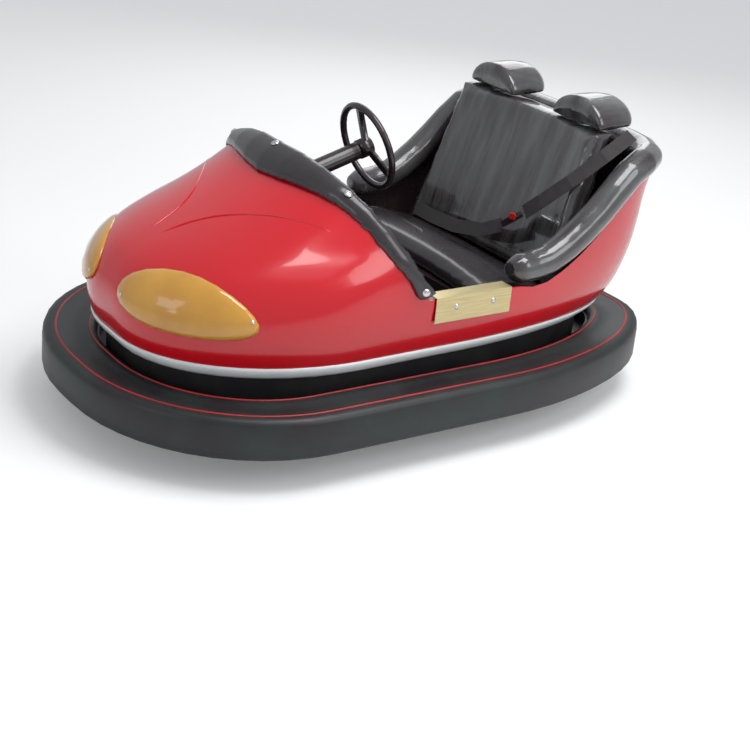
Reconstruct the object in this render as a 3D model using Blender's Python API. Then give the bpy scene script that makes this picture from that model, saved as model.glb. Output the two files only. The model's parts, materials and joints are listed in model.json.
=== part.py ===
"""Two-seat bumper car with a bullet-nosed shell, a rubber bumper ring and a steered drive wheel.

Metres, +Z up, floor at z = 0. The nose points to -Y, and the car's left side is +X.
"""

import math

import bmesh
import bpy
from mathutils import Matrix, Vector

# ---------------------------------------------------------------- driving dimensions
CAR_LENGTH = 1.95
CAR_WIDTH = 1.25
TOUCH_GAP = 0.0004          # left between pieces that rest on each other

# Bumper ring
BUMPER_BOTTOM = 0.10
BUMPER_TOP = 0.225
BUMPER_DEPTH = 0.165        # from its outer face to its inner face

# Chassis
RAIL_SIZE = 0.040
RAIL_X = 0.225
RAIL_TOP = 0.155
FLOOR_THICKNESS = 0.004
FLOOR_BOTTOM = RAIL_TOP + TOUCH_GAP
FLOOR_TOP = FLOOR_BOTTOM + FLOOR_THICKNESS
BAND_THICKNESS = 0.006

# Drive unit under the nose
DRIVE_Y = -0.36
DRIVE_RADIUS = 0.125
DRIVE_WIDTH = 0.060
TURRET_RADIUS = 0.195
TURRET_TOP = 0.500
TURRET_WALL = 0.004
KINGPIN_RADIUS = 0.018
AXLE_RADIUS = 0.012
BORE_CLEARANCE = 0.0006

# Rear wheels
REAR_Y = 0.42
REAR_X = 0.325
REAR_RADIUS = 0.100
REAR_WIDTH = 0.050

# Body shell
SHELL_WALL = 0.006
RIM_Z = 0.270
TRIM_TOP = 0.304
SILL_Z = 0.466

# Steering
COLUMN_TILT = math.radians(17.0)
WHEEL_HUB = Vector((0.0, 0.014, 0.780))
WHEEL_RADIUS = 0.142
WHEEL_GRIP = 0.011
COLUMN_RADIUS = 0.027
SHAFT_RADIUS = 0.012

# Seat
SEAT_HALF_WIDTH = 0.395
CUSHION_BOTTOM = 0.3704
SEAT_FRONT = 0.185
BACK_FOOT = 0.505           # front of the backrest at its foot
ROLL_RADIUS = 0.048

COLUMN_AXIS = Vector((0.0, math.cos(COLUMN_TILT), math.sin(COLUMN_TILT)))
LATERAL = Vector((1.0, 0.0, 0.0))

# ---------------------------------------------------------------- scene and materials
for old in list(bpy.data.objects):
    bpy.data.objects.remove(old)

FINISHES = {
    # name: colour, roughness, metallic
    "red_gelcoat": ((0.78, 0.01, 0.015), 0.15, 0.0),
    "white_gelcoat": ((0.86, 0.88, 0.86), 0.25, 0.0),
    "bumper_rubber": ((0.035, 0.045, 0.042), 0.60, 0.0),
    "black_vinyl": ((0.035, 0.032, 0.034), 0.35, 0.0),
    "amber_lens": ((0.80, 0.42, 0.05), 0.20, 0.0),
    "black_steel": ((0.02, 0.02, 0.022), 0.45, 0.6),
    "bare_aluminium": ((0.72, 0.68, 0.55), 0.35, 1.0),
    "bright_steel": ((0.75, 0.75, 0.76), 0.25, 1.0),
    "black_plastic": ((0.02, 0.018, 0.02), 0.30, 0.0),
    "belt_webbing": ((0.025, 0.02, 0.022), 0.75, 0.0),
    "tyre_rubber": ((0.03, 0.03, 0.03), 0.80, 0.0),
    "red_plastic": ((0.75, 0.01, 0.02), 0.30, 0.0),
}


def finish(name):
    """The material of that name, made when it is first asked for."""
    found = bpy.data.materials.get(name)
    if found:
        return found
    colour, roughness, metallic = FINISHES[name]
    made = bpy.data.materials.new(name)
    made.use_nodes = True
    shader = made.node_tree.nodes["Principled BSDF"]
    shader.inputs["Base Color"].default_value = (*colour, 1.0)
    shader.inputs["Roughness"].default_value = roughness
    shader.inputs["Metallic"].default_value = metallic
    return made


# ---------------------------------------------------------------- mesh helpers
def make_object(name, bm, material, smooth_degrees=40.0):
    """An object made from a bmesh, with its faces pointing out and round surfaces shaded smooth."""
    bmesh.ops.recalc_face_normals(bm, faces=bm.faces[:])
    mesh = bpy.data.meshes.new(name)
    bm.to_mesh(mesh)
    bm.free()
    mesh.shade_smooth()
    mesh.set_sharp_from_angle(angle=math.radians(smooth_degrees))
    mesh.materials.append(finish(material))
    made = bpy.data.objects.new(name, mesh)
    bpy.context.scene.collection.objects.link(made)
    return made


def loft(rings, closed_rings=True, closed_path=False):
    """A bmesh skin over rings of points. An open path is capped at both ends."""
    bm = bmesh.new()
    rows = [[bm.verts.new(point) for point in ring] for ring in rings]
    pairs = list(zip(rows[:-1], rows[1:]))
    if closed_path:
        pairs.append((rows[-1], rows[0]))
    count = len(rows[0])
    for low, high in pairs:
        for i in range(count if closed_rings else count - 1):
            j = (i + 1) % count
            bm.faces.new((low[i], low[j], high[j], high[i]))
    if not closed_path:
        bm.faces.new(rows[0])
        bm.faces.new(rows[-1])
    return bm


def box(low, high):
    """A bmesh box between two corners."""
    bm = bmesh.new()
    bmesh.ops.create_cube(bm, size=1.0)
    low, high = Vector(low), Vector(high)
    bmesh.ops.scale(bm, vec=high - low, verts=bm.verts[:])
    bmesh.ops.translate(bm, vec=(low + high) / 2, verts=bm.verts[:])
    return bm


def aim(direction, place):
    """The matrix that carries +Z to a direction and the origin to a place."""
    turn = Vector(direction).to_track_quat("Z", "Y").to_matrix().to_4x4()
    return Matrix.Translation(place) @ turn


def rod(start, end, radius, sides=24, end_radius=None):
    """A bmesh cylinder or cone between two points."""
    start, end = Vector(start), Vector(end)
    bm = bmesh.new()
    bmesh.ops.create_cone(
        bm, cap_ends=True, segments=sides, radius1=radius,
        radius2=radius if end_radius is None else end_radius,
        depth=(end - start).length, matrix=aim(end - start, (start + end) / 2),
    )
    return bm


def turned(profile, axis, centre, sides=32):
    """A solid of revolution: profile points are (distance along the axis, radius), in a closed loop."""
    frame = aim(axis, centre)
    rings = []
    for k in range(sides):
        angle = 2 * math.pi * k / sides
        rings.append([
            frame @ Vector((radius * math.cos(angle), radius * math.sin(angle), along))
            for along, radius in profile
        ])
    return loft(rings, closed_path=True)


def combine(base, others, operation="UNION"):
    """Joins or cuts a finished object with others, which are then removed."""
    for other in others:
        cut = base.modifiers.new("boolean", "BOOLEAN")
        cut.operation = operation
        cut.solver = "EXACT"
        cut.object = other
        bpy.context.view_layer.update()
        graph = bpy.context.evaluated_depsgraph_get()
        result = bpy.data.meshes.new_from_object(base.evaluated_get(graph))
        base.modifiers.clear()
        base.data = result
        bpy.data.objects.remove(other)
    return base


def tool(bm):
    """A temporary solid for combine()."""
    return make_object("tool", bm, "black_steel")


def smooth_column(rows, column, z):
    """One column of a table read at height z, with a smooth curve through its rows."""
    zs = [row[0] for row in rows]
    z = min(max(z, zs[0]), zs[-1])
    i = max(k for k in range(len(zs) - 1) if zs[k] <= z + 1e-9)

    def slope(k):
        before, after = max(k - 1, 0), min(k + 1, len(rows) - 1)
        return (rows[after][column] - rows[before][column]) / (zs[after] - zs[before])

    span = zs[i + 1] - zs[i]
    t = (z - zs[i]) / span
    a, b = rows[i][column], rows[i + 1][column]
    return (
        a * (2 * t**3 - 3 * t**2 + 1) + b * (3 * t**2 - 2 * t**3)
        + span * (slope(i) * (t**3 - 2 * t**2 + t) + slope(i + 1) * (t**3 - t**2))
    )


# ---------------------------------------------------------------- plan outlines
ARC_STEPS = 12


def plan(front_half, rear_half, nose, tail, nose_arc, tail_arc):
    """A closed plan outline as (x, y, normal x, normal y), symmetric about x = 0.

    Each corner is a quarter of an ellipse: nose_arc and tail_arc are its (x radius, y radius).
    """
    side = []
    for k in range(ARC_STEPS + 1):
        angle = math.pi / 2 * k / ARC_STEPS
        a, b = nose_arc
        side.append((
            front_half - a + a * math.sin(angle), nose + b - b * math.cos(angle),
            math.sin(angle) / a, -math.cos(angle) / b,
        ))
    side_start, side_end = nose + nose_arc[1], tail - tail_arc[1]
    steps = 4 if side_end - side_start > 0.02 else 1
    for k in range(1, steps):
        share = k / steps
        side.append((
            front_half + (rear_half - front_half) * share,
            side_start + (side_end - side_start) * share, 1.0, 0.0,
        ))
    for k in range(ARC_STEPS + 1):
        angle = math.pi / 2 * k / ARC_STEPS
        a, b = tail_arc
        side.append((
            rear_half - a + a * math.cos(angle), tail - b + b * math.sin(angle),
            math.cos(angle) / a, math.sin(angle) / b,
        ))
    other = [(-x, y, -nx, ny) for x, y, nx, ny in reversed(side)]
    outline = []
    for x, y, nx, ny in side + other:
        length = math.hypot(nx, ny)
        outline.append((x, y, nx / length, ny / length))
    return outline


def ring_at(outline, offset, z):
    """The outline moved outwards by offset, at height z."""
    return [Vector((x + nx * offset, y + ny * offset, z)) for x, y, nx, ny in outline]


def swept_ring(outline, section):
    """A closed band: section points are (outward offset, z), in a closed loop."""
    rows = [ring_at(outline, offset, z) for offset, z in section]
    return loft(list(map(list, zip(*rows))), closed_path=True)


BUMPER_PLAN = plan(CAR_WIDTH / 2, CAR_WIDTH / 2, -CAR_LENGTH / 2, CAR_LENGTH / 2, (0.585, 0.55), (0.42, 0.80))

# The body's level sections, from the rim up:
# z, half width at the front, half width at the rear, nose y, tail y, nose arc x, nose arc y, tail arc x, tail arc y
BODY_SECTIONS = [
    (0.270, 0.462, 0.455, -0.814, 0.745, 0.400, 0.54, 0.200, 0.74),
    (0.310, 0.480, 0.475, -0.836, 0.782, 0.420, 0.56, 0.200, 0.74),
    (0.360, 0.490, 0.487, -0.850, 0.820, 0.435, 0.57, 0.200, 0.74),
    (0.430, 0.495, 0.493, -0.853, 0.850, 0.450, 0.58, 0.200, 0.74),
    (0.490, 0.493, 0.495, -0.834, 0.868, 0.460, 0.59, 0.200, 0.74),
    (0.540, 0.488, 0.495, -0.792, 0.878, 0.465, 0.60, 0.200, 0.74),
    (0.580, 0.480, 0.495, -0.722, 0.884, 0.465, 0.60, 0.200, 0.74),
    (0.620, 0.468, 0.495, -0.622, 0.888, 0.455, 0.55, 0.200, 0.74),
    (0.660, 0.452, 0.495, -0.522, 0.894, 0.440, 0.45, 0.200, 0.74),
    (0.700, 0.434, 0.495, -0.436, 0.904, 0.420, 0.36, 0.200, 0.74),
    (0.740, 0.408, 0.495, -0.362, 0.914, 0.395, 0.28, 0.200, 0.74),
    (0.780, 0.370, 0.495, -0.285, 0.920, 0.355, 0.20, 0.200, 0.74),
    (0.830, 0.320, 0.495, -0.190, 0.920, 0.300, 0.15, 0.200, 0.74),
]
BODY_LEVELS = [0.27, 0.30, 0.34, 0.39, 0.44, 0.48, 0.515, 0.54, 0.565, 0.59, 0.615, 0.64, 0.67, 0.70, 0.73, 0.76, 0.79, 0.83]


def body_plan(z):
    """The body's plan outline at height z."""
    front, rear, nose, tail, nose_x, nose_y, tail_x, tail_y = (
        smooth_column(BODY_SECTIONS, column, z) for column in range(1, 9)
    )
    return plan(front, rear, nose, tail, (nose_x, nose_y), (tail_x, tail_y))


def body_form(offset, below=0.0, above=0.0):
    """The body's outer form as one solid, moved outwards by offset and drawn out past its ends."""
    rings = [ring_at(body_plan(z), offset, z) for z in BODY_LEVELS]
    if below:
        rings.insert(0, ring_at(body_plan(BODY_LEVELS[0]), offset, BODY_LEVELS[0] - below))
    if above:
        rings.append(ring_at(body_plan(BODY_LEVELS[-1]), offset, BODY_LEVELS[-1] + above))
    bm = loft(rings)
    sides = [face for face in bm.faces if len(face.verts) == 4]
    bmesh.ops.triangulate(bm, faces=sides, quad_method="FIXED")
    return bm


def across(profile, x_low, x_high):
    """A side-view profile of (y, z) points drawn across the car."""
    return loft([[Vector((x, y, z)) for y, z in profile] for x in (x_low, x_high)])


# ---------------------------------------------------------------- bumper and chassis
def build_bumper():
    """The rubber ring: upright face, rolled shoulder, shallow channel and an inner bead."""
    section = [
        (0.000, BUMPER_BOTTOM + 0.012), (0.000, BUMPER_TOP - 0.022), (-0.005, BUMPER_TOP - 0.008),
        (-0.018, BUMPER_TOP - 0.001), (-0.045, BUMPER_TOP - 0.002), (-0.085, BUMPER_TOP - 0.010),
        (-0.125, BUMPER_TOP - 0.009), (-0.145, BUMPER_TOP - 0.001), (-0.160, BUMPER_TOP - 0.010),
        (-BUMPER_DEPTH, BUMPER_TOP - 0.030), (-BUMPER_DEPTH, BUMPER_BOTTOM + 0.010),
        (-0.150, BUMPER_BOTTOM), (-0.012, BUMPER_BOTTOM),
    ]
    make_object("bumper_ring", swept_ring(BUMPER_PLAN, section), "bumper_rubber", 50.0)
    inner = -(BUMPER_DEPTH + TOUCH_GAP)
    band = [
        (inner, 0.116), (inner, 0.198), (inner - BAND_THICKNESS, 0.198), (inner - BAND_THICKNESS, 0.116),
    ]
    make_object("bumper_band", swept_ring(BUMPER_PLAN, band), "black_steel")


def build_chassis():
    """The steel frame, and the floor plate with its drive opening and wheel slots."""
    inner = -(BUMPER_DEPTH + BAND_THICKNESS + 2 * TOUCH_GAP)
    rail_low = RAIL_TOP - RAIL_SIZE
    half = RAIL_SIZE / 2
    frame = make_object("chassis_frame", box((RAIL_X - half, -0.70, rail_low), (RAIL_X + half, 0.76, RAIL_TOP)),
                        "black_steel")
    members = [box((-RAIL_X - half, -0.70, rail_low), (-RAIL_X + half, 0.76, RAIL_TOP))]
    for y, reach in ((-0.62, 0.315), (-0.12, 0.440), (0.27, 0.440), (0.70, 0.290)):
        members.append(box((-reach, y - half, rail_low + 0.001), (reach, y + half, RAIL_TOP - 0.001)))
    combine(frame, [tool(member) for member in members])

    floor = make_object(
        "floor_plate",
        loft([ring_at(BUMPER_PLAN, inner, FLOOR_BOTTOM), ring_at(BUMPER_PLAN, inner, FLOOR_TOP)]),
        "black_steel",
    )
    cuts = [rod((0, DRIVE_Y, 0), (0, DRIVE_Y, 0.3), TURRET_RADIUS - TURRET_WALL - 0.003, 48)]
    for side in (-1, 1):
        cuts.append(box(
            (side * REAR_X - 0.034, REAR_Y - 0.096, 0.1), (side * REAR_X + 0.034, REAR_Y + 0.096, 0.3)
        ))
    combine(floor, [tool(cut) for cut in cuts], "DIFFERENCE")


def build_rear_axle():
    """The fixed rear axle in its two hangers, and the two wheels that turn on it."""
    reach = REAR_X + REAR_WIDTH / 2 + 0.010
    make_object("rear_axle", rod((-reach, REAR_Y, REAR_RADIUS), (reach, REAR_Y, REAR_RADIUS), AXLE_RADIUS), "bright_steel")
    rail_low = RAIL_TOP - RAIL_SIZE
    for side, word in ((1, "left"), (-1, "right")):
        low = (side * RAIL_X - 0.018, REAR_Y - 0.035, REAR_RADIUS - 0.024)
        high = (side * RAIL_X + 0.018, REAR_Y + 0.035, rail_low - TOUCH_GAP)
        hanger = make_object("axle_hanger_" + word, box(low, high), "black_steel")
        hole = rod((low[0] - 0.01, REAR_Y, REAR_RADIUS), (high[0] + 0.01, REAR_Y, REAR_RADIUS), AXLE_RADIUS + TOUCH_GAP)
        combine(hanger, [tool(hole)], "DIFFERENCE")
        build_wheel("rear", "_" + word, (side * REAR_X, REAR_Y, REAR_RADIUS), REAR_RADIUS, REAR_WIDTH)


def build_wheel(name, ending, centre, radius, width):
    """A solid tyre pressed on a hub that turns on an axle along X."""
    seat = radius * 0.66
    half = width / 2
    crown = radius * 0.06
    tyre = [
        (-half, seat), (-half, radius - crown), (-half + crown, radius), (half - crown, radius),
        (half, radius - crown), (half, seat),
    ]
    make_object(name + "_tyre" + ending, turned(tyre, LATERAL, centre, 36), "tyre_rubber")
    bore = AXLE_RADIUS + BORE_CLEARANCE
    rim = seat - TOUCH_GAP
    hub = [
        (-half, bore), (-half, bore + 0.014), (-half * 0.3, bore + 0.014), (-half * 0.3, rim), (half * 0.3, rim),
        (half * 0.3, bore + 0.014), (half, bore + 0.014), (half, bore),
    ]
    make_object(name + "_hub" + ending, turned(hub, LATERAL, centre, 24), "bright_steel")


# ---------------------------------------------------------------- drive unit
def build_drive_unit():
    """The turret on the floor, and the fork, motor and wheel that steer inside it."""
    outer = TURRET_RADIUS
    inside = outer - TURRET_WALL
    bore = KINGPIN_RADIUS + BORE_CLEARANCE
    low = FLOOR_TOP + TOUCH_GAP
    turret = [
        (low, inside), (low, outer + 0.020), (low + TURRET_WALL, outer + 0.020), (low + TURRET_WALL, outer),
        (TURRET_TOP - 0.02, outer), (TURRET_TOP, outer - 0.02), (TURRET_TOP, bore),
        (TURRET_TOP - 0.010, bore), (TURRET_TOP - 0.010, inside - 0.02), (TURRET_TOP - 0.03, inside),
    ]
    up = Vector((0, 0, 1))
    make_object("drive_turret", turned(turret, up, (0, DRIVE_Y, 0), 48), "black_plastic")

    gearbox_low = TURRET_TOP + 0.002
    gearbox = make_object(
        "steering_gearbox",
        box((-0.045, DRIVE_Y - 0.050, gearbox_low), (0.045, DRIVE_Y + 0.050, 0.690)), "black_steel",
    )
    pocket = rod((0, DRIVE_Y, gearbox_low - 0.01), (0, DRIVE_Y, gearbox_low + 0.034), bore)
    shaft_end = column_point(DRIVE_Y + 0.020)
    throat = rod(shaft_end - COLUMN_AXIS * 0.003, shaft_end + COLUMN_AXIS * 0.08, SHAFT_RADIUS + BORE_CLEARANCE)
    combine(gearbox, [tool(pocket), tool(throat)], "DIFFERENCE")

    # The fork: a top plate, two legs and the kingpin
    crown_low = 0.285
    gap = DRIVE_WIDTH / 2 + 0.008
    leg = 0.010
    fork = make_object("drive_fork", box((-0.075, DRIVE_Y - 0.060, crown_low), (0.075, DRIVE_Y + 0.060, crown_low + 0.012)), "black_steel")
    pieces = [rod((0, DRIVE_Y, crown_low + 0.006), (0, DRIVE_Y, TURRET_TOP + 0.030), KINGPIN_RADIUS)]
    for side in (-1, 1):
        low_x, high_x = sorted((side * gap, side * (gap + leg)))
        pieces.append(box((low_x, DRIVE_Y - 0.030, DRIVE_RADIUS - 0.030), (high_x, DRIVE_Y + 0.030, crown_low + 0.006)))
    combine(fork, [tool(piece) for piece in pieces])
    reach = gap + leg + 0.006
    make_hole = rod((-0.1, DRIVE_Y, DRIVE_RADIUS), (0.1, DRIVE_Y, DRIVE_RADIUS), AXLE_RADIUS + TOUCH_GAP)
    combine(fork, [tool(make_hole)], "DIFFERENCE")
    make_object("drive_axle", rod((-reach, DRIVE_Y, DRIVE_RADIUS), (reach, DRIVE_Y, DRIVE_RADIUS), AXLE_RADIUS), "bright_steel")

    # The motor stands on the fork's plate, ahead of the kingpin
    motor_low = crown_low + 0.012 + TOUCH_GAP
    motor_y = DRIVE_Y - 0.085
    motor = [
        (motor_low, 0.0), (motor_low, 0.052), (motor_low + 0.012, 0.062), (motor_low + 0.130, 0.062),
        (motor_low + 0.145, 0.050), (motor_low + 0.145, 0.0),
    ]
    rings = []
    for k in range(32):
        angle = 2 * math.pi * k / 32
        rings.append([Vector((r * math.cos(angle), motor_y + r * math.sin(angle), z)) for z, r in motor[1:-1]])
    body = loft(list(map(list, zip(*rings))))
    make_object("drive_motor", body, "black_steel")
    build_wheel("drive", "", (0, DRIVE_Y, DRIVE_RADIUS), DRIVE_RADIUS, DRIVE_WIDTH)


# ---------------------------------------------------------------- body
# Side view of the cockpit opening, (y, z): down the cowl, along the sill, up the flank and over the tail
COCKPIT_EDGE = [
    (-0.285, 0.95), (-0.285, 0.785), (-0.262, 0.745), (-0.228, 0.695), (-0.190, 0.635), (-0.145, 0.575),
    (-0.095, 0.520), (-0.060, SILL_Z), (0.270, SILL_Z - 0.004), (0.330, 0.452), (0.390, 0.458),
    (0.456, 0.486), (0.520, 0.522), (0.584, 0.564), (0.640, 0.612), (0.688, 0.658), (0.740, 0.702), (0.800, 0.722),
    (1.10, 0.722), (1.10, 0.95),
]


def build_shell():
    """The red shell: nose, flanks and tail in one moulding, open below and over the cockpit."""
    shell = make_object("body_shell", body_form(0.0), "red_gelcoat")
    hollow = tool(body_form(-SHELL_WALL, below=0.02, above=0.02))
    opening = tool(across(COCKPIT_EDGE, -0.7, 0.7))
    combine(shell, [hollow, opening], "DIFFERENCE")

    rim = body_plan(RIM_Z)
    section = []
    for z, bulge in ((0.268, 0.004), (0.274, 0.0075), (0.286, 0.009), (0.297, 0.0075), (TRIM_TOP, 0.003)):
        section.append((z, bulge))
    rows = [ring_at(body_plan(z), bulge, z) for z, bulge in section]
    rows += [ring_at(body_plan(z), TOUCH_GAP, z) for z, _ in reversed(section)]
    make_object("rim_trim", loft(list(map(list, zip(*rows))), closed_path=True), "white_gelcoat", 50.0)

    skirt = [
        (-0.030, FLOOR_TOP + TOUCH_GAP), (-0.026, FLOOR_TOP + TOUCH_GAP), (-0.026, 0.262),
        (-SHELL_WALL - 0.003, 0.262), (-SHELL_WALL - 0.003, 0.266), (-0.030, 0.266),
    ]
    make_object("body_skirt", swept_ring(rim, skirt), "black_steel")


# The headlight lens on the nose's corner: middle bearing from straight ahead, height, and half sizes
LENS_BEARING = math.radians(31.0)
LENS_Z = 0.468
LENS_HALF_BEARING = math.radians(26.0)
LENS_HALF_HEIGHT = 0.080
LENS_LEAN = math.radians(5.0)
LENS_SAG = 0.024
# Rings of the lens from the middle of its back round to the middle of its front: share of its half size, standoff
LENS_RINGS = [
    (0.12, -0.004), (0.99, -0.004), (1.00, 0.006), (0.95, 0.012), (0.82, 0.0155), (0.55, 0.018), (0.12, 0.019),
]


def nose_point(side, bearing, z, standoff):
    """A point off the nose's skin: bearing is measured round the nose's arc from straight ahead."""
    half, _, nose, _, arc_x, arc_y, _, _ = (smooth_column(BODY_SECTIONS, column, z) for column in range(1, 9))
    normal = Vector((math.sin(bearing) / arc_x, -math.cos(bearing) / arc_y, 0.0)).normalized()
    point = Vector((half - arc_x + arc_x * math.sin(bearing), nose + arc_y - arc_y * math.cos(bearing), z))
    point += normal * standoff
    return Vector((side * point.x, point.y, point.z))


def build_headlights():
    """Two long oval amber lenses that wrap round the nose."""
    for side, word in ((1, "left"), (-1, "right")):
        rings = []
        for share, standoff in LENS_RINGS:
            ring = []
            for k in range(24):
                along = share * math.cos(2 * math.pi * k / 24)
                rise = share * math.sin(2 * math.pi * k / 24)
                bearing = LENS_BEARING + LENS_HALF_BEARING * along - LENS_LEAN * rise
                z = LENS_Z + LENS_HALF_HEIGHT * rise - LENS_SAG * along**2
                ring.append(nose_point(side, bearing, z, standoff))
            rings.append(ring)
        lens = make_object("headlight_" + word, loft(rings), "amber_lens", 60.0)
        combine(lens, [tool(body_form(0.0006))], "DIFFERENCE")


# The cowl pad's two edges, from the centre to the sill: front edge x, y, z, then rear edge x, y, z
COWL_STATIONS = [
    (0.000, -0.375, 0.733, 0.000, -0.285, 0.818),
    (0.100, -0.362, 0.736, 0.100, -0.280, 0.814),
    (0.200, -0.337, 0.736, 0.200, -0.264, 0.797),
    (0.290, -0.308, 0.725, 0.300, -0.238, 0.765),
    (0.375, -0.271, 0.693, 0.372, -0.200, 0.722),
    (0.439, -0.230, 0.636, 0.424, -0.155, 0.664),
    (0.478, -0.188, 0.579, 0.452, -0.112, 0.602),
    (0.491, -0.143, 0.527, 0.468, -0.068, 0.541),
    (0.494, -0.105, 0.468, 0.480, -0.030, 0.484),
]


def build_cowl():
    """The padded vinyl band round the cockpit's front edge, and the dash panel below it."""
    half = []
    for fx, fy, fz, rx, ry, rz in COWL_STATIONS:
        half.append((Vector((fx, fy, fz)), Vector((rx, ry, rz))))
    mirrored = [(Vector((-f.x, f.y, f.z)), Vector((-r.x, r.y, r.z))) for f, r in reversed(half[1:])]
    stations = mirrored + half
    middle = [(front + rear) / 2 for front, rear in stations]
    thickness = (0.008, 0.020, 0.026, 0.026, 0.020, 0.008)
    rings = []
    for k, (front, rear) in enumerate(stations):
        along = middle[min(k + 1, len(middle) - 1)] - middle[max(k - 1, 0)]
        out = along.cross(rear - front).normalized()
        top = []
        for step, height in enumerate(thickness):
            share = step / (len(thickness) - 1)
            top.append(front.lerp(rear, share) + out * height)
        rings.append(top + [rear - out * 0.020, front - out * 0.020])
    pad = make_object("cowl_pad", loft(rings), "black_vinyl", 60.0)
    combine(pad, [tool(body_form(0.0020, above=0.03))], "DIFFERENCE")


def column_point(y):
    """The steering column's centre line at that y."""
    return WHEEL_HUB + COLUMN_AXIS * ((y - WHEEL_HUB.y) / COLUMN_AXIS.y)


def build_dash():
    """The dash panel across the cockpit, with the steering column's tube through it."""
    y = -0.262
    outline = []
    for z in (0.500, 0.560, 0.620, 0.660, 0.700, 0.730):
        plan_here = body_plan(z)
        widest = max(
            x for x, py, _, _ in plan_here if abs(py - y) < 0.06
        )
        outline.append((widest - 0.040, z))
    outline.append((0.24, 0.752))
    ring = [(x, z) for x, z in outline] + [(-x, z) for x, z in reversed(outline)]
    panel = make_object(
        "dash_panel", loft([[Vector((x, y + dy, z)) for x, z in ring] for dy in (0.0, 0.005)]), "black_plastic"
    )
    hole = rod(column_point(y - 0.05), column_point(y + 0.06), COLUMN_RADIUS + TOUCH_GAP, 24)
    combine(panel, [tool(hole)], "DIFFERENCE")

    inner = SHAFT_RADIUS + 0.004
    start = (column_point(-0.300) - WHEEL_HUB).dot(COLUMN_AXIS)
    end = -0.040
    tube = [(start, inner), (start, COLUMN_RADIUS), (end, COLUMN_RADIUS), (end, inner)]
    make_object("steering_column", turned(tube, COLUMN_AXIS, WHEEL_HUB, 24), "black_plastic")


def build_steering_wheel():
    """The three-spoke wheel on its shaft."""
    grip = []
    for k in range(8):
        angle = 2 * math.pi * k / 8
        grip.append((WHEEL_GRIP * math.sin(angle), WHEEL_RADIUS - WHEEL_GRIP + WHEEL_GRIP * math.cos(angle)))
    wheel = make_object("steering_wheel", turned(grip, COLUMN_AXIS, WHEEL_HUB, 36), "black_plastic")
    hub = rod(WHEEL_HUB - COLUMN_AXIS * 0.032, WHEEL_HUB + COLUMN_AXIS * 0.008, 0.030, 24)
    spokes = []
    frame = aim(COLUMN_AXIS, WHEEL_HUB)
    for k in range(3):
        bm = box((0.015, -0.014, -0.009), (WHEEL_RADIUS - WHEEL_GRIP, 0.014, 0.001))
        turn = Matrix.Rotation(math.radians(-30.0 + 120.0 * k), 4, "Z")
        bmesh.ops.transform(bm, matrix=frame @ turn, verts=bm.verts[:])
        spokes.append(tool(bm))
    combine(wheel, [tool(hub)] + spokes)
    shaft_end = column_point(DRIVE_Y + 0.020)
    shaft = rod(shaft_end, WHEEL_HUB - COLUMN_AXIS * (0.032 + TOUCH_GAP), SHAFT_RADIUS, 20)
    make_object("steering_shaft", shaft, "bright_steel")


# ---------------------------------------------------------------- cockpit
def build_cockpit():
    """The inner side walls, sill plates, pedal and the box that carries the seat."""
    for side, word in ((1, "left"), (-1, "right")):
        wall = [(0.440, FLOOR_TOP + TOUCH_GAP), (0.445, FLOOR_TOP + TOUCH_GAP), (0.445, 0.4535), (0.480, 0.4535),
                (0.480, 0.4575), (0.440, 0.4575)]
        rings = [[Vector((side * x, y, z)) for x, z in wall] for y in (-0.090, 0.250)]
        # wall sits inside the skirt
        liner = make_object("side_liner_" + word, loft(rings), "black_plastic")
        combine(liner, [tool(body_form(-SHELL_WALL - 0.0005, above=0.02)) ], "INTERSECT")

        plate = [(0.4985, 0.392), (0.5010, 0.392), (0.5010, SILL_Z + 0.005), (0.4500, SILL_Z + 0.005),
                 (0.4500, SILL_Z + 0.002), (0.4985, SILL_Z + 0.002)]
        rings = [[Vector((side * x, y, z)) for x, z in plate] for y in (-0.040, 0.235)]
        make_object("sill_plate_" + word, loft(rings), "bare_aluminium")

    base = [(SEAT_FRONT + 0.020, FLOOR_TOP + TOUCH_GAP), (SEAT_FRONT + 0.020, 0.370), (0.760, 0.370), (0.760, 0.364),
            (SEAT_FRONT + 0.026, 0.364), (SEAT_FRONT + 0.026, FLOOR_TOP + TOUCH_GAP)]
    seat_base = make_object("seat_base", across(base, -0.420, 0.420), "black_plastic")
    combine(seat_base, [tool(body_form(-0.0312, below=0.12))], "INTERSECT")
    make_object("battery_pack", box((-0.255, 0.240, FLOOR_TOP + TOUCH_GAP), (0.255, 0.500, 0.340)), "black_plastic")

    pedal = make_object("accelerator_pedal", box((0.235, -0.335, FLOOR_TOP + TOUCH_GAP), (0.315, -0.325, 0.175)), "black_steel")
    tread = box((-0.040, -0.005, 0.0), (0.040, 0.005, 0.120))
    lean = Matrix.Translation((0.275, -0.325, 0.165)) @ Matrix.Rotation(math.radians(28.0), 4, "X")
    bmesh.ops.transform(tread, matrix=lean, verts=tread.verts[:])
    combine(pedal, [tool(tread)])


# ---------------------------------------------------------------- seat
# Side roll of the seat, front to rear, and then half way round the tail: x, y, z of its centre
ROLL_PATH = [
    (0.444, 0.262, 0.500), (0.444, 0.300, 0.500), (0.444, 0.350, 0.502), (0.444, 0.410, 0.515), (0.444, 0.470, 0.548),
    (0.444, 0.530, 0.592), (0.443, 0.590, 0.645), (0.440, 0.650, 0.706), (0.434, 0.705, 0.756), (0.420, 0.765, 0.782),
    (0.385, 0.820, 0.786), (0.325, 0.852, 0.786), (0.250, 0.866, 0.786), (0.125, 0.870, 0.786), (0.0003, 0.870, 0.786),
]


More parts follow.
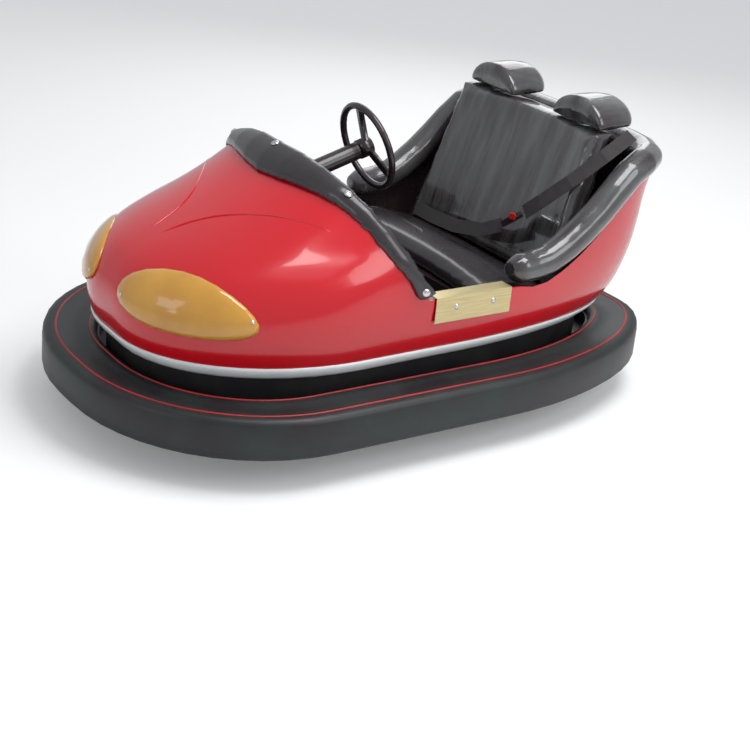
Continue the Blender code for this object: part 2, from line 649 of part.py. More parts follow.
def build_rolls():
    """The thick padded rolls that lie on the shell's edge beside and behind the seat."""
    sides = 12
    for side, word in ((1, "left"), (-1, "right")):
        path = [Vector((side * x, y, z)) for x, y, z in ROLL_PATH]
        rings = []
        for k, centre in enumerate(path):
            along = (path[min(k + 1, len(path) - 1)] - path[max(k - 1, 0)]).normalized()
            level = along.cross(Vector((0, 0, 1))).normalized()
            rise = level.cross(along)
            radius = ROLL_RADIUS * (0.55 if k == 0 else 1.0)
            rings.append([
                centre + (level * math.cos(2 * math.pi * n / sides) + rise * math.sin(2 * math.pi * n / sides)) * radius
                for n in range(sides)
            ])
        roll = make_object("seat_roll_" + word, loft(rings), "black_vinyl", 60.0)
        combine(roll, [shell_room()], "DIFFERENCE")


def shell_room():
    """The shell with a small gap round it, to cut from soft pieces that rest on its edge."""
    room = tool(body_form(0.0006))
    hollow = tool(body_form(-SHELL_WALL - 0.0006, below=0.02, above=0.02))
    lowered = [(y, z + 0.0006) if z < 0.9 else (y, z) for y, z in COCKPIT_EDGE]
    return combine(room, [hollow, tool(across(lowered, -0.7, 0.7))], "DIFFERENCE")


def grid_solid(columns, rows, front, back):
    """A closed solid between two point grids: front(u, v) and back(u, v) for u, v from 0 to 1."""
    bm = bmesh.new()
    skins = []
    for surface in (front, back):
        skins.append([
            [bm.verts.new(surface(i / columns, j / rows)) for i in range(columns + 1)] for j in range(rows + 1)
        ])
    for skin in skins:
        for j in range(rows):
            for i in range(columns):
                bm.faces.new((skin[j][i], skin[j][i + 1], skin[j + 1][i + 1], skin[j + 1][i]))
    a, b = skins
    edge = [(0, i) for i in range(columns)] + [(j, columns) for j in range(rows)]
    edge += [(rows, i) for i in range(columns, 0, -1)] + [(j, 0) for j in range(rows, 0, -1)]
    for (j0, i0), (j1, i1) in zip(edge, edge[1:] + edge[:1]):
        bm.faces.new((a[j0][i0], a[j0][i1] if j0 == j1 else a[j1][i1], b[j1][i1], b[j0][i0]))
    return bm


def build_seat():
    """The bench cushion, the reclined back and the two hooded headrests."""
    def cushion_top(u, v):
        x = (2 * u - 1) * SEAT_HALF_WIDTH
        front = SEAT_FRONT + 0.035 * (1 - (2 * u - 1) ** 2)
        rear = BACK_FOOT - 0.035 * (2 * u - 1) ** 4 - 0.0006
        y = front + (rear - front) * v
        rise = 0.430 - 0.045 * max(0.0, (v - 0.52) / 0.48) ** 0.8 - 0.026 * max(0.0, 1 - v / 0.12) ** 2
        return Vector((x, y, rise))

    def cushion_foot(u, v):
        top = cushion_top(u, v)
        return Vector((top.x, top.y, CUSHION_BOTTOM))

    make_object("seat_cushion", grid_solid(12, 14, cushion_top, cushion_foot), "black_vinyl", 50.0)

    def back_front(u, v):
        z = 0.3716 + v * 0.495
        x = (2 * u - 1) * (SEAT_HALF_WIDTH - 0.050 * v)
        dish = 0.035 * (2 * u - 1) ** 4
        return Vector((x, BACK_FOOT + v * 0.150 - dish, z))

    def back_rear(u, v):
        front = back_front(u, v)
        return Vector((front.x, front.y + 0.075, front.z))

    make_object("seat_back", grid_solid(14, 10, back_front, back_rear), "black_vinyl", 50.0)

    for side, word in ((1, "left"), (-1, "right")):
        rings = []
        for y, shrink in ((0.645, 0.97), (0.652, 1.0), (0.740, 1.0), (0.785, 0.93), (0.812, 0.72)):
            ring = []
            for k in range(17):
                angle = math.pi * k / 16
                ring.append(Vector((
                    side * 0.218 + 0.120 * shrink * math.cos(angle), y, 0.8676 + 0.082 * shrink * math.sin(angle),
                )))
            rings.append(ring)
        make_object("headrest_" + word, loft(rings), "black_vinyl", 50.0)


def ribbon(path, across_hint, width, thickness):
    """A flat strap along a path."""
    rings = []
    for k, centre in enumerate(path):
        along = (path[min(k + 1, len(path) - 1)] - path[max(k - 1, 0)]).normalized()
        wide = (across_hint - along * across_hint.dot(along)).normalized() * width / 2
        thick = along.cross(wide).normalized() * thickness / 2
        rings.append([centre - wide - thick, centre + wide - thick, centre + wide + thick, centre - wide + thick])
    return loft(rings)


def build_belt():
    """The belt: a shoulder strap from behind the left headrest, a lap strap from the right hip, and the buckle."""
    shoulder = [Vector(p) for p in (
        (0.408, 0.715, 0.872), (0.396, 0.626, 0.808), (0.340, 0.550, 0.716), (0.262, 0.508, 0.630), (0.207, 0.498, 0.581),
    )]
    make_object("shoulder_strap", ribbon(shoulder, Vector((0.8, 0.0, -0.6)), 0.046, 0.0024), "belt_webbing")
    lap = [Vector(p) for p in (
        (0.140, 0.470, 0.520), (0.060, 0.452, 0.478), (-0.080, 0.452, 0.446), (-0.220, 0.462, 0.432), (-0.340, 0.475, 0.426),
    )]
    make_object("lap_strap", ribbon(lap, Vector((0.0, 0.3, 0.95)), 0.046, 0.0024), "belt_webbing")
    along = (shoulder[-1] - lap[0]).normalized()
    for name, start, end, half_width, thick, material in (
        ("belt_buckle", 0.016, 0.066, 0.029, 0.020, "black_plastic"),
        ("belt_tongue", 0.067, 0.088, 0.027, 0.006, "bright_steel"),
    ):
        bm = box((-half_width, -thick / 2, start), (half_width, thick / 2, end))
        bmesh.ops.transform(bm, matrix=aim(along, lap[0]), verts=bm.verts[:])
        make_object(name, bm, material)


build_bumper()
build_chassis()
build_rear_axle()
build_drive_unit()
build_shell()
build_headlights()
build_cowl()
build_dash()
build_steering_wheel()
build_cockpit()
build_rolls()
build_seat()
build_belt()
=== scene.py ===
# %% [markdown]
# # A two-seat bumper car
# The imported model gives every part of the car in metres, with +Z up and the nose towards -Y.
# This lesson keeps its steel and wheels, and makes finer pieces for what a rider sees and touches.

# %% Load the frame
import json
import math

import bpy
from mathutils import Matrix, Vector
from mathutils.bvhtree import BVHTree

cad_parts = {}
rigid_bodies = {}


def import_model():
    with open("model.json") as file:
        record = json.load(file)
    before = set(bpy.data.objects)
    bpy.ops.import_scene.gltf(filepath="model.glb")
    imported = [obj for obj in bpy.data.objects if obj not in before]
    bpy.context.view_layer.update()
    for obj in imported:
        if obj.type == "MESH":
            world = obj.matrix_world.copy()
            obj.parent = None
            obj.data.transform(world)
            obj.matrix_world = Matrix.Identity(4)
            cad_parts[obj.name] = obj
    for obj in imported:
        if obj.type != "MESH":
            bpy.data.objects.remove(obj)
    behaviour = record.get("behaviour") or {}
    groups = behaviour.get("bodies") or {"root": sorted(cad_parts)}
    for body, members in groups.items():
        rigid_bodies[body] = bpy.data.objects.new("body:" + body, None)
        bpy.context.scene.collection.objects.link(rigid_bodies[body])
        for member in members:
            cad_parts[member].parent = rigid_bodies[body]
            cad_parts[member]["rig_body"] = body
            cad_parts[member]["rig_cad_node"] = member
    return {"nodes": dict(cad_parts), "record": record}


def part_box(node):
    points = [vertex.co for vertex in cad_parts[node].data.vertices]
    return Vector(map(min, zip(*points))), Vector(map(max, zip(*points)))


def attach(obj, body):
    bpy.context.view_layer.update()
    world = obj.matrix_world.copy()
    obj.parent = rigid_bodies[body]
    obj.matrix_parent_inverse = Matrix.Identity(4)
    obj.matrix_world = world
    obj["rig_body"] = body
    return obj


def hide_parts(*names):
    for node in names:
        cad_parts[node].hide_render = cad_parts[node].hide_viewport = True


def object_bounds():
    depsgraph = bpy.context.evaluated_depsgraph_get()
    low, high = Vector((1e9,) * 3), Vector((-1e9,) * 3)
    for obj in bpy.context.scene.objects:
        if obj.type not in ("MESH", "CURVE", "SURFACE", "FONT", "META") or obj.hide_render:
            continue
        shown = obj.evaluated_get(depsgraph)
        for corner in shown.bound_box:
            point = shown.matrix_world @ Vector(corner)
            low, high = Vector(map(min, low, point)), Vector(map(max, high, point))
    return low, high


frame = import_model()
nodes = frame["nodes"]
cad_box = [list(map(float, corner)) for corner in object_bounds()]
scene = bpy.context.scene

# %% [markdown]
# ## Small helpers
# An operator acts on all that is selected, so every step starts by choosing exactly one object.

# %% Choose, settle and hand over a piece


def choose(piece):
    """Makes one object the only selected and the active one."""
    bpy.ops.object.select_all(action="DESELECT")
    piece.select_set(True)
    bpy.context.view_layer.objects.active = piece


def settle(piece):
    """Puts a piece's place into its mesh, so that its object sits at the origin."""
    choose(piece)
    bpy.ops.object.transform_apply(location=True, rotation=True, scale=True)


def hand_over(piece, name, body, material, smooth=40):
    """Names a finished piece, gives it its finish, and makes it ride on a body."""
    piece.name = name
    settle(piece)
    piece.data.materials.clear()
    piece.data.materials.append(material)
    bpy.ops.object.shade_smooth_by_angle(angle=math.radians(smooth))
    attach(piece, body)
    print(name, len(piece.data.polygons), "faces")


# %% [markdown]
# ## Camera, light and floor
# A long lens seen from the car's front left, a little above it. Large soft lamps give the long
# highlights that show a polished shell's shape.

# %% Place the camera
BEARING = math.radians(55.417)
RISE = math.radians(23.187)
LEAN = math.radians(5.116)
REACH = 5.091
AIM = Vector((0.0, 0.0, 0.1))
back = Vector((math.sin(BEARING) * math.cos(RISE), -math.cos(BEARING) * math.cos(RISE), math.sin(RISE)))
level = Vector((0, 0, 1)).cross(back).normalized()
upright = back.cross(level)
right = level * math.cos(LEAN) + upright * math.sin(LEAN)
up = upright * math.cos(LEAN) - level * math.sin(LEAN)
bpy.ops.object.select_all(action="DESELECT")
bpy.ops.object.camera_add()
camera = bpy.context.object
turn = Matrix((right, up, back)).transposed().to_4x4()
camera.matrix_world = Matrix.Translation(AIM + back * REACH) @ turn
camera.data.lens = 75.62
camera.data.shift_x = 0.0396
camera.data.shift_y = -0.0337
scene.camera = camera
scene.view_settings.view_transform = "Standard"
print("camera", tuple(round(v, 2) for v in camera.location))

# %% Light the studio
LAMPS = (
    # name, place, width, watts
    ("sky_panel", (1.0, 0.5, 3.4), 1.9, 74),
    ("side_panel", (3.4, 1.4, 2.6), 2.0, 40),
    ("back_panel", (-3.0, 2.6, 2.6), 2.4, 30),
    ("nose_panel", (0.6, -4.4, 1.7), 1.6, 12),
)
for name, place, width, watts in LAMPS:
    bpy.ops.object.light_add(type="AREA", location=place)
    lamp = bpy.context.object
    lamp.name = name
    lamp.data.size = width
    lamp.data.energy = watts
    lamp.rotation_euler = (Vector((0, 0, 0.4)) - Vector(place)).to_track_quat("-Z", "Y").to_euler()
world = bpy.data.worlds.new("studio")
scene.world = world
world.use_nodes = True
world.node_tree.nodes["Background"].inputs["Color"].default_value = (0.93, 0.96, 1.0, 1)
world.node_tree.nodes["Background"].inputs["Strength"].default_value = 0.55
print(len(LAMPS), "lamps")

# %% Lay the floor
FLOOR_GLOW = 0.16  # lifts the floor towards white, for the camera only
bpy.ops.mesh.primitive_plane_add(size=60, location=(0, 0, 0))
floor = bpy.context.object
floor.name = "studio_floor"
paint = bpy.data.materials.new("studio_floor")
paint.use_nodes = True
floor_nodes, floor_links = paint.node_tree.nodes, paint.node_tree.links
shader = floor_nodes["Principled BSDF"]
shader.inputs["Base Color"].default_value = (0.86, 0.86, 0.86, 1)
shader.inputs["Roughness"].default_value = 0.9
floor.data.materials.append(paint)
seen = floor_nodes.new("ShaderNodeLightPath")
lift = floor_nodes.new("ShaderNodeMath")
lift.operation = "MULTIPLY"
lift.inputs[1].default_value = FLOOR_GLOW
floor_links.new(seen.outputs["Is Camera Ray"], lift.inputs[0])
floor_links.new(lift.outputs["Value"], shader.inputs["Emission Strength"])
shader.inputs["Emission Color"].default_value = (1, 1, 1, 1)
print("floor laid")

# %% [markdown]
# ## Finishes
# Each finish starts from one recipe: a base colour broken up by a soft noise, a roughness that
# varies, and a fine bump at the scale of the real surface.

# %% The common recipe
FINISHES = {}


def finish(name, colour, second, roughness, spread=0.08, scale=6.0, bump=0.05, grain=400.0,
           metallic=0.0, coat=0.0, stretch=(1, 1, 1), sheen=0.0):
    """A principled finish whose colour, gloss and bump vary with the place on the piece."""
    made = bpy.data.materials.new(name)
    made.use_nodes = True
    tree = made.node_tree
    shader = tree.nodes["Principled BSDF"]
    place = tree.nodes.new("ShaderNodeTexCoord")
    mapping = tree.nodes.new("ShaderNodeMapping")
    mapping.inputs["Scale"].default_value = stretch
    cloud = tree.nodes.new("ShaderNodeTexNoise")
    cloud.inputs["Scale"].default_value = scale
    cloud.inputs["Detail"].default_value = 5
    tones = tree.nodes.new("ShaderNodeValToRGB")
    tones.color_ramp.elements[0].position = 0.35
    tones.color_ramp.elements[1].position = 0.68
    tones.color_ramp.elements[0].color = (*colour, 1)
    tones.color_ramp.elements[1].color = (*second, 1)
    gloss = tree.nodes.new("ShaderNodeMapRange")
    gloss.inputs["To Min"].default_value = max(roughness - spread, 0.02)
    gloss.inputs["To Max"].default_value = roughness + spread
    fine = tree.nodes.new("ShaderNodeTexNoise")
    fine.inputs["Scale"].default_value = grain
    relief = tree.nodes.new("ShaderNodeBump")
    relief.inputs["Strength"].default_value = bump
    relief.inputs["Distance"].default_value = 0.002
    link = tree.links.new
    link(place.outputs["Object"], mapping.inputs["Vector"])
    link(mapping.outputs["Vector"], cloud.inputs["Vector"])
    link(mapping.outputs["Vector"], fine.inputs["Vector"])
    link(cloud.outputs["Fac"], tones.inputs["Fac"])
    link(tones.outputs["Color"], shader.inputs["Base Color"])
    link(cloud.outputs["Fac"], gloss.inputs["Value"])
    link(gloss.outputs["Result"], shader.inputs["Roughness"])
    link(fine.outputs["Fac"], relief.inputs["Height"])
    link(relief.outputs["Normal"], shader.inputs["Normal"])
    shader.inputs["Metallic"].default_value = metallic
    shader.inputs["Coat Weight"].default_value = coat
    shader.inputs["Coat Roughness"].default_value = 0.04
    shader.inputs["Sheen Weight"].default_value = sheen
    FINISHES[name] = made
    return made


# %% Mix the finishes
RED = finish("red_gelcoat", (0.60, 0.001, 0.010), (0.54, 0.001, 0.008),
    0.20, 0.03, 2, 0.01, 60, coat=0.6)
WHITE = finish("white_gelcoat", (0.80, 0.84, 0.84), (0.74, 0.79, 0.80),
    0.25, 0.05, 5, 0.02, 80, coat=0.5)
# The rubber's green-grey second tone is painted sheen, mixed in over the near-black by noise.
RUBBER_WITH_PAINTED_SHEEN = finish("bumper_rubber", (0.011, 0.008, 0.011), (0.016, 0.026, 0.024),
    0.46, 0.10, 5, 0.20, 260)
STRIPE = finish("stripe_red", (0.42, 0.012, 0.014), (0.28, 0.010, 0.012),
    0.45, 0.08, 9, 0.10, 200)
VINYL = finish("black_vinyl", (0.022, 0.018, 0.020), (0.034, 0.030, 0.032),
    0.27, 0.06, 7, 0.14, 520, coat=0.35)
AMBER = finish("amber_lens", (0.62, 0.31, 0.035), (0.52, 0.24, 0.025),
    0.20, 0.05, 7, 0.05, 90, coat=1.0)
STEEL = finish("black_steel", (0.015, 0.014, 0.016), (0.024, 0.023, 0.024),
    0.45, 0.10, 12, 0.10, 220)
PLATE = finish("bare_aluminium", (0.66, 0.56, 0.30), (0.54, 0.45, 0.24),
    0.36, 0.08, 30, 0.10, 300, metallic=0.75,
    stretch=(1, 0.3, 6))
CHROME = finish("bright_steel", (0.72, 0.72, 0.74), (0.60, 0.60, 0.62),
    0.22, 0.06, 14, 0.05, 200, metallic=1.0)
PLASTIC = finish("black_plastic", (0.020, 0.012, 0.014), (0.030, 0.018, 0.020),
    0.26, 0.08, 10, 0.06, 300, coat=0.3)
WEBBING = finish("belt_webbing", (0.016, 0.012, 0.014), (0.030, 0.024, 0.026),
    0.70, 0.06, 40, 0.6, 700, sheen=0.2)
TYRE = finish("tyre_rubber", (0.020, 0.020, 0.020), (0.040, 0.038, 0.036),
    0.80, 0.08, 18, 0.25, 200)
BUTTON = finish("button_red", (0.70, 0.010, 0.012), (0.55, 0.008, 0.010),
    0.30, 0.05, 40, 0.03, 200)
# Its pale grey-green second tone, drawn out into streaks, is painted highlight and reflection on the
# plastic film's wrinkles.
WRAP_WITH_PAINTED_HIGHLIGHTS = finish("wrapped_vinyl", (0.026, 0.017, 0.019), (0.085, 0.090, 0.090),
    0.22, 0.08, 7, 1.0, 34, coat=1.0,
    stretch=(3.0, 0.5, 0.5))
slot_of = {row["node"]: row["material_slot"] for row in frame["record"]["subparts"]}
for name, node in nodes.items():
    node.data.materials.clear()
    node.data.materials.append(FINISHES[slot_of[name]])
print(len(bpy.data.materials), "finishes")

# %% [markdown]
# ## Soft pieces
# Foam under vinyl swells between its edges. The plain solid is copied, remeshed into even small
# faces, and inflated a little by a short cloth simulation whose travel is capped.

# %% Swell a plain solid
SWELL_FRAMES = 12
SWELL_PRESSURE = 4
EVENING_STEPS = 6


def merged_copy(node, name):
    """A copy of a part with its loose triangles merged."""
    piece = nodes[node].copy()
    piece.data = nodes[node].data.copy()
    piece.parent = None
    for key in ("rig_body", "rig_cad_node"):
        if key in piece:
            del piece[key]
    scene.collection.objects.link(piece)
    piece.name = name
    choose(piece)
    bpy.ops.object.mode_set(mode="EDIT")
    bpy.ops.mesh.select_all(action="SELECT")
    bpy.ops.mesh.remove_doubles(threshold=0.0001)
    bpy.ops.object.mode_set(mode="OBJECT")
    return piece


def apply(piece, kind, **settings):
    """Adds one modifier with these settings and applies it."""
    choose(piece)
    bpy.ops.object.modifier_add(type=kind)
    added = piece.modifiers[-1]
    for key, value in settings.items():
        setattr(added, key, value)
    bpy.ops.object.modifier_apply(modifier=added.name)


def swell(node, voxel, cap, material):
    """A padded copy of a plain cushion solid."""
    piece = merged_copy(node, node + "_padded")
    apply(piece, "REMESH", mode="VOXEL", voxel_size=voxel)
    apply(piece, "SMOOTH", factor=0.8, iterations=EVENING_STEPS)
    rest = [v.co.copy() for v in piece.data.vertices]
    choose(piece)
    bpy.ops.object.modifier_add(type="CLOTH")
    cloth = piece.modifiers[-1]
    cloth.settings.use_pressure = True
    cloth.settings.uniform_pressure_force = SWELL_PRESSURE
    cloth.settings.effector_weights.gravity = 0
    cloth.settings.quality = 4
    cloth.point_cache.frame_end = 20
    for step in range(1, SWELL_FRAMES + 1):
        scene.frame_set(step)
    bpy.ops.object.modifier_apply(modifier=cloth.name)
    scene.frame_set(1)
    for vertex, start in zip(piece.data.vertices, rest):
        move = vertex.co - start
        if move.length > cap:
            vertex.co = start + move * (cap / move.length)
    apply(piece, "SMOOTH", factor=0.5, iterations=3)
    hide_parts(node)
    hand_over(piece, node + "_padded", "car_body", material, smooth=60)
    return piece


# %% Swell the seat, its rolls, the headrests and the cowl pad
SOFT = (
    # node, voxel, cap, finish
    ("seat_cushion", 0.008, 0.006, VINYL),
    ("seat_back", 0.009, 0.010, WRAP_WITH_PAINTED_HIGHLIGHTS),
    # The film-wrapped pieces get the finish whose pale streaks are painted highlights.
    ("headrest_left", 0.006, 0.004, WRAP_WITH_PAINTED_HIGHLIGHTS),
    ("headrest_right", 0.006, 0.004, WRAP_WITH_PAINTED_HIGHLIGHTS),
    ("seat_roll_left", 0.006, 0.004, WRAP_WITH_PAINTED_HIGHLIGHTS),
    ("seat_roll_right", 0.006, 0.004, WRAP_WITH_PAINTED_HIGHLIGHTS),
    ("cowl_pad", 0.006, 0.003, VINYL),
)
for node, voxel, cap, material in SOFT:
    swell(node, voxel, cap, material)

# %% [markdown]
# ## The red shell
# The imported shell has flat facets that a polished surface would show. A finer skin is drawn through
# the same level sections, with many more levels and points between them, then cut open over the
# cockpit and given its wall. Smooth curves between the sections keep the long highlights clean.

# %% Draw the shell's skin through its level sections
# z, half width at the front, at the rear, nose y, tail y, nose arc x, nose arc y, tail arc x, tail arc y
SECTIONS = (
    (0.270, 0.462, 0.455, -0.814, 0.745, 0.400, 0.54, 0.200, 0.74),
    (0.310, 0.480, 0.475, -0.836, 0.782, 0.420, 0.56, 0.200, 0.74),
    (0.360, 0.490, 0.487, -0.850, 0.820, 0.435, 0.57, 0.200, 0.74),
    (0.430, 0.495, 0.493, -0.853, 0.850, 0.450, 0.58, 0.200, 0.74),
    (0.490, 0.493, 0.495, -0.834, 0.868, 0.460, 0.59, 0.200, 0.74),
    (0.540, 0.488, 0.495, -0.792, 0.878, 0.465, 0.60, 0.200, 0.74),
    (0.580, 0.480, 0.495, -0.722, 0.884, 0.465, 0.60, 0.200, 0.74),
    (0.620, 0.468, 0.495, -0.622, 0.888, 0.455, 0.55, 0.200, 0.74),
    (0.660, 0.452, 0.495, -0.522, 0.894, 0.440, 0.45, 0.200, 0.74),
    (0.700, 0.434, 0.495, -0.436, 0.904, 0.420, 0.36, 0.200, 0.74),
    (0.740, 0.408, 0.495, -0.362, 0.914, 0.395, 0.28, 0.200, 0.74),
    (0.780, 0.370, 0.495, -0.285, 0.920, 0.355, 0.20, 0.200, 0.74),
    (0.830, 0.320, 0.495, -0.190, 0.920, 0.300, 0.15, 0.200, 0.74),
)
COCKPIT_EDGE = (
    (-0.285, 0.95), (-0.285, 0.785), (-0.262, 0.745), (-0.228, 0.695), (-0.190, 0.635), (-0.145, 0.575),
    (-0.095, 0.520), (-0.060, 0.466), (0.270, 0.462), (0.330, 0.452), (0.390, 0.458), (0.456, 0.486),
    (0.520, 0.522), (0.584, 0.564), (0.640, 0.612), (0.688, 0.658), (0.740, 0.702), (0.800, 0.722),
    (1.10, 0.722), (1.10, 0.95),
)
WALL = 0.005
SKIN_FOOT = 0.27
SKIN_HEIGHT = 0.56
SKIN_LEVELS = 90
CUT_REACH = 0.7


def section_at(z):
    """The eight sizes of the level section at height z, on smooth curves through the table."""
    z = min(max(z, SECTIONS[0][0]), SECTIONS[-1][0])
    i = max(k for k in range(len(SECTIONS) - 1) if SECTIONS[k][0] <= z + 1e-9)
    span = SECTIONS[i + 1][0] - SECTIONS[i][0]
    t = (z - SECTIONS[i][0]) / span
    sizes = []
    for column in range(1, 9):
        slopes = []
        for k in (i, i + 1):
            before, after = SECTIONS[max(k - 1, 0)], SECTIONS[min(k + 1, len(SECTIONS) - 1)]
            slopes.append((after[column] - before[column]) / (after[0] - before[0]))
        a, b = SECTIONS[i][column], SECTIONS[i + 1][column]
        sizes.append(
            a * (2 * t**3 - 3 * t**2 + 1) + b * (3 * t**2 - 2 * t**3)
            + span * (slopes[0] * (t**3 - 2 * t**2 + t) + slopes[1] * (t**3 - t**2))
        )
    return sizes


def level_outline(z, steps=44):
    """The shell's plan outline at height z: the left side from nose to tail, then the right back."""
    front, rear, nose, tail, nose_x, nose_y, tail_x, tail_y = section_at(z)
    side = []
    for k in range(steps + 1):
        angle = math.pi / 2 * k / steps
        side.append((front - nose_x + nose_x * math.sin(angle), nose + nose_y - nose_y * math.cos(angle)))
    start, end = nose + nose_y, tail - tail_y
    for k in range(1, 8):
        share = k / 8
        side.append((front + (rear - front) * share, start + (end - start) * share))
    for k in range(steps + 1):
        angle = math.pi / 2 * k / steps
        side.append((rear - tail_x + tail_x * math.cos(angle), tail - tail_y + tail_y * math.sin(angle)))
    return [Vector((x, y, z)) for x, y in side] + [Vector((-x, y, z)) for x, y in reversed(side)]


rings = [level_outline(SKIN_FOOT + SKIN_HEIGHT * k / SKIN_LEVELS) for k in range(SKIN_LEVELS + 1)]
count = len(rings[0])
points = [point for ring in rings for point in ring]
faces = [
    (r * count + i, r * count + (i + 1) % count, (r + 1) * count + (i + 1) % count, (r + 1) * count + i)
    for r in range(SKIN_LEVELS) for i in range(count)
]
skin = bpy.data.meshes.new("body_shell_fine")
skin.from_pydata(points, [], faces)
shell = bpy.data.objects.new("body_shell_fine", skin)
scene.collection.objects.link(shell)
choose(shell)
bpy.ops.object.mode_set(mode="EDIT")
bpy.ops.mesh.select_all(action="SELECT")
bpy.ops.mesh.remove_doubles(threshold=0.00005)
bpy.ops.mesh.normals_make_consistent(inside=False)
bpy.ops.object.mode_set(mode="OBJECT")
apply(shell, "SOLIDIFY", thickness=WALL, offset=-1)
print("skin", len(shell.data.polygons), "faces")

# %% Cut the cockpit open
side_view = bpy.data.meshes.new("cockpit_cut")
near = [Vector((CUT_REACH, y, z)) for y, z in COCKPIT_EDGE]
far = [Vector((-CUT_REACH, y, z)) for y, z in COCKPIT_EDGE]
n = len(COCKPIT_EDGE)
side_faces = [tuple(range(n)), tuple(reversed(range(n, 2 * n)))]
side_faces += [(i, n + i, n + (i + 1) % n, (i + 1) % n) for i in range(n)]
side_view.from_pydata(near + far, [], side_faces)
cutter = bpy.data.objects.new("cockpit_cut", side_view)
scene.collection.objects.link(cutter)
choose(cutter)
bpy.ops.object.mode_set(mode="EDIT")
bpy.ops.mesh.select_all(action="SELECT")
bpy.ops.mesh.normals_make_consistent(inside=False)
bpy.ops.object.mode_set(mode="OBJECT")
apply(shell, "BOOLEAN", operation="DIFFERENCE", solver="EXACT", object=cutter)
bpy.data.objects.remove(cutter)
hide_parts("body_shell")
hand_over(shell, "body_shell_fine", "car_body", RED, smooth=35)
shell.data.materials.append(PLASTIC)
for face in shell.data.polygons:
    if face.normal.x * face.center.x + face.normal.y * face.center.y < -0.02:
        face.material_index = 1
print("cockpit open,", sum(face.material_index for face in shell.data.polygons), "inner faces black")

# %% Smooth the other moulded parts
MOULDED = (
    "bumper_ring", "rim_trim", "headlight_left", "headlight_right", "drive_turret", "steering_wheel",
    "steering_column", "drive_tyre", "rear_tyre_left", "rear_tyre_right", "drive_motor",
)
for name in MOULDED:
    piece = merged_copy(name, name + "_smooth")
    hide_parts(name)
    body = next(body for body, members in frame["record"]["behaviour"]["bodies"].items() if name in members)
    hand_over(piece, name + "_smooth", body, FINISHES[slot_of[name]], smooth=48)

# %% [markdown]
# ## Fixings
# Domed studs hold the cowl pad, bolts hold the sill plates, and each lens has a screw at each end.
# One domed head is turned from a sphere and copied to each place, facing out of its surface.

# %% Set domed heads on the surface


def surface_point(node, near):
    """The point and outward normal of a part's surface nearest to a place."""
    mesh = nodes[node].data
    tree = BVHTree.FromPolygons([v.co for v in mesh.vertices], [p.vertices for p in mesh.polygons])
    point, normal, _, _ = tree.find_nearest(Vector(near))
    return point, normal


def domed_head(name, node, near, radius, height, lift=0.0):
    """A domed head with a flat rim, sitting on a part."""
    point, normal = surface_point(node, near)
    bpy.ops.object.select_all(action="DESELECT")
    bpy.ops.mesh.primitive_uv_sphere_add(segments=24, ring_count=12, radius=1.0)
    head = bpy.context.object
    bpy.ops.object.mode_set(mode="EDIT")
    bpy.ops.mesh.select_all(action="SELECT")
    bpy.ops.mesh.bisect(plane_co=(0, 0, 0), plane_no=(0, 0, 1), clear_inner=True, use_fill=True)
    bpy.ops.object.mode_set(mode="OBJECT")
    turn = normal.to_track_quat("Z", "Y").to_matrix().to_4x4()
    shape = Matrix.Diagonal((radius, radius, height, 1))
    head.matrix_world = Matrix.Translation(point + normal * (lift - 0.001)) @ turn @ shape
    hand_over(head, name, "car_body", CHROME)


STUDS = (
    (0.0, -0.32, 0.83), (0.34, -0.27, 0.77), (-0.34, -0.27, 0.77),
    (0.51, -0.09, 0.50), (-0.51, -0.09, 0.50),
)
for k, place in enumerate(STUDS):
    domed_head(f"pad_stud_{k}", "cowl_pad", place, 0.013, 0.006, lift=0.003)
for side, word in ((1, "left"), (-1, "right")):
    for k, y in enumerate((0.035, 0.170)):
        domed_head(f"sill_bolt_{word}_{k}", "sill_plate_" + word, (side * 0.52, y, 0.436), 0.009, 0.005)
    for k, (x, y) in enumerate(((side * 0.105, -0.86), (side * 0.425, -0.605))):
        domed_head(f"lens_screw_{word}_{k}", "headlight_" + word, (x, y, 0.455), 0.006, 0.003)

# %% [markdown]
# ## Bumper piping
# Two thin red beads run round the bumper's top. Each is a closed curve that follows the car's plan
# at a fixed distance in from the edge, given a round section and half sunk in the rubber.

# %% Run the beads round the bumper
LENGTH = cad_box[1][1] - cad_box[0][1]
WIDTH = cad_box[1][0] - cad_box[0][0]


def quarter(centre, radii, start, steps=24):
    """Points and normals of a quarter of an ellipse."""
    points = []
    for k in range(steps + 1):
        angle = start + math.pi / 2 * k / steps
        normal = Vector((math.cos(angle) / radii[0], math.sin(angle) / radii[1])).normalized()
        x, y = centre[0] + radii[0] * math.cos(angle), centre[1] + radii[1] * math.sin(angle)
        points.append((Vector((x, y)), normal))
    return points


def bumper_line(inset):
    """The bumper's plan outline, moved in by inset."""
    nose, tail = (0.585, 0.55), (0.42, 0.80)
    half = WIDTH / 2
    side = quarter((half - nose[0], -LENGTH / 2 + nose[1]), nose, -math.pi / 2)
    side += quarter((half - tail[0], LENGTH / 2 - tail[1]), tail, 0.0)
    points = [point - normal * inset for point, normal in side]
    return points + [Vector((-p.x, p.y)) for p in reversed(points)]


def bead(name, inset, z, radius):
    """A round red bead along the bumper's top."""
    line = bumper_line(inset)
    curve = bpy.data.curves.new(name, "CURVE")
    curve.dimensions = "3D"
    curve.bevel_depth = radius
    curve.bevel_resolution = 3
    spline = curve.splines.new("POLY")
    spline.points.add(len(line) - 1)
    for point, place in zip(spline.points, line):
        point.co = (place.x, place.y, z, 1)
    spline.use_cyclic_u = True
    piece = bpy.data.objects.new(name, curve)
    scene.collection.objects.link(piece)
    choose(piece)
    bpy.ops.object.convert(target="MESH")
    hand_over(bpy.context.object, name, "car_body", STRIPE)


bumper_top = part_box("bumper_ring")[1][2]
bead("bumper_bead_outer", 0.040, bumper_top - 0.0025, 0.0042)
bead("bumper_bead_inner", 0.143, bumper_top - 0.0022, 0.0032)

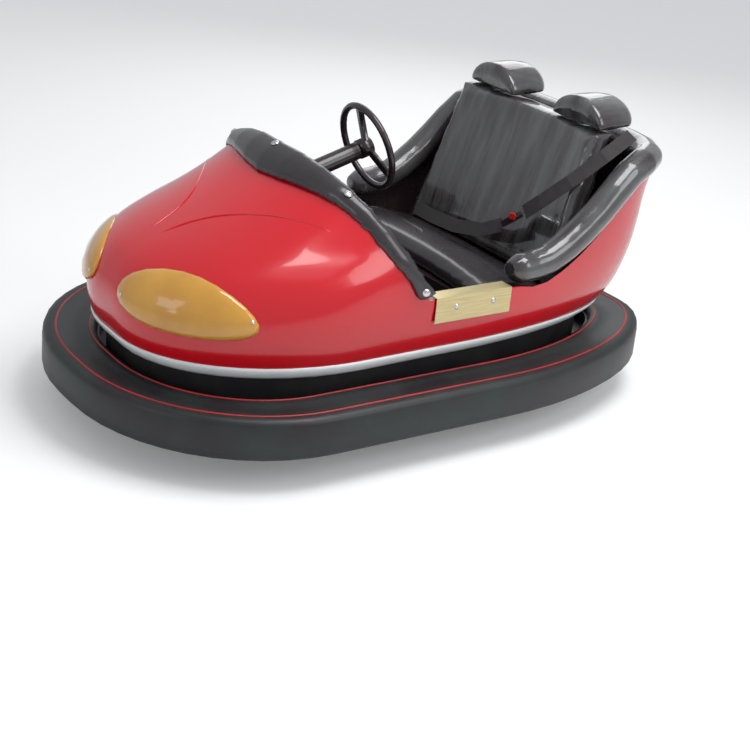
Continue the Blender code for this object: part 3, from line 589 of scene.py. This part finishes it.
# %% [markdown]
# ## Hood crease
# A thin raised line sweeps from the nose's middle out and back over each side of the hood. Its
# points are dropped on to the shell, so it follows the skin, and it is half sunk in it.

# %% Draw the crease on each side
CREASE = (
    (0.012, -0.78, 0.55), (0.03, -0.68, 0.60), (0.05, -0.61, 0.63), (0.10, -0.535, 0.66),
    (0.20, -0.459, 0.69), (0.27, -0.41, 0.69), (0.35, -0.345, 0.67), (0.40, -0.307, 0.64),
    (0.45, -0.265, 0.59),
)
for side, word in ((1, "left"), (-1, "right")):
    curve = bpy.data.curves.new("hood_crease_" + word, "CURVE")
    curve.dimensions = "3D"
    curve.bevel_depth = 0.0035
    curve.bevel_resolution = 3
    curve.use_fill_caps = True
    spline = curve.splines.new("NURBS")
    spline.points.add(len(CREASE) - 1)
    spline.use_endpoint_u = True
    spline.order_u = 3
    for k, (x, y, z) in enumerate(CREASE):
        point, normal = surface_point("body_shell", (side * x, y, z))
        spline.points[k].co = (*(point + normal * 0.0006), 1)
        spline.points[k].radius = 0.35 if k in (0, len(CREASE) - 1) else 1.0
    piece = bpy.data.objects.new("hood_crease_" + word, curve)
    scene.collection.objects.link(piece)
    choose(piece)
    bpy.ops.object.convert(target="MESH")
    hand_over(bpy.context.object, "hood_crease_" + word, "car_body", RED)

# %% [markdown]
# ## Belt button
# A small red release button with rounded edges sits on the buckle.

# %% Set the button on the buckle
low, high = (Vector(corner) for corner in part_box("belt_buckle"))
bpy.ops.object.select_all(action="DESELECT")
bpy.ops.mesh.primitive_cube_add(size=1.0)
button = bpy.context.object
bpy.ops.object.modifier_add(type="BEVEL")
button.modifiers[-1].width = 0.12
button.modifiers[-1].segments = 3
bpy.ops.object.modifier_apply(modifier=button.modifiers[-1].name)
beside = ((low.x + high.x) / 2 + 0.05, (low.y + high.y) / 2 - 0.05, (low.z + high.z) / 2 + 0.03)
middle, facing = surface_point("belt_buckle", beside)
turn = facing.to_track_quat("Z", "Y").to_matrix().to_4x4()
button.matrix_world = Matrix.Translation(middle) @ turn @ Matrix.Diagonal((0.020, 0.020, 0.006, 1))
hand_over(button, "belt_button", "car_body", BUTTON)
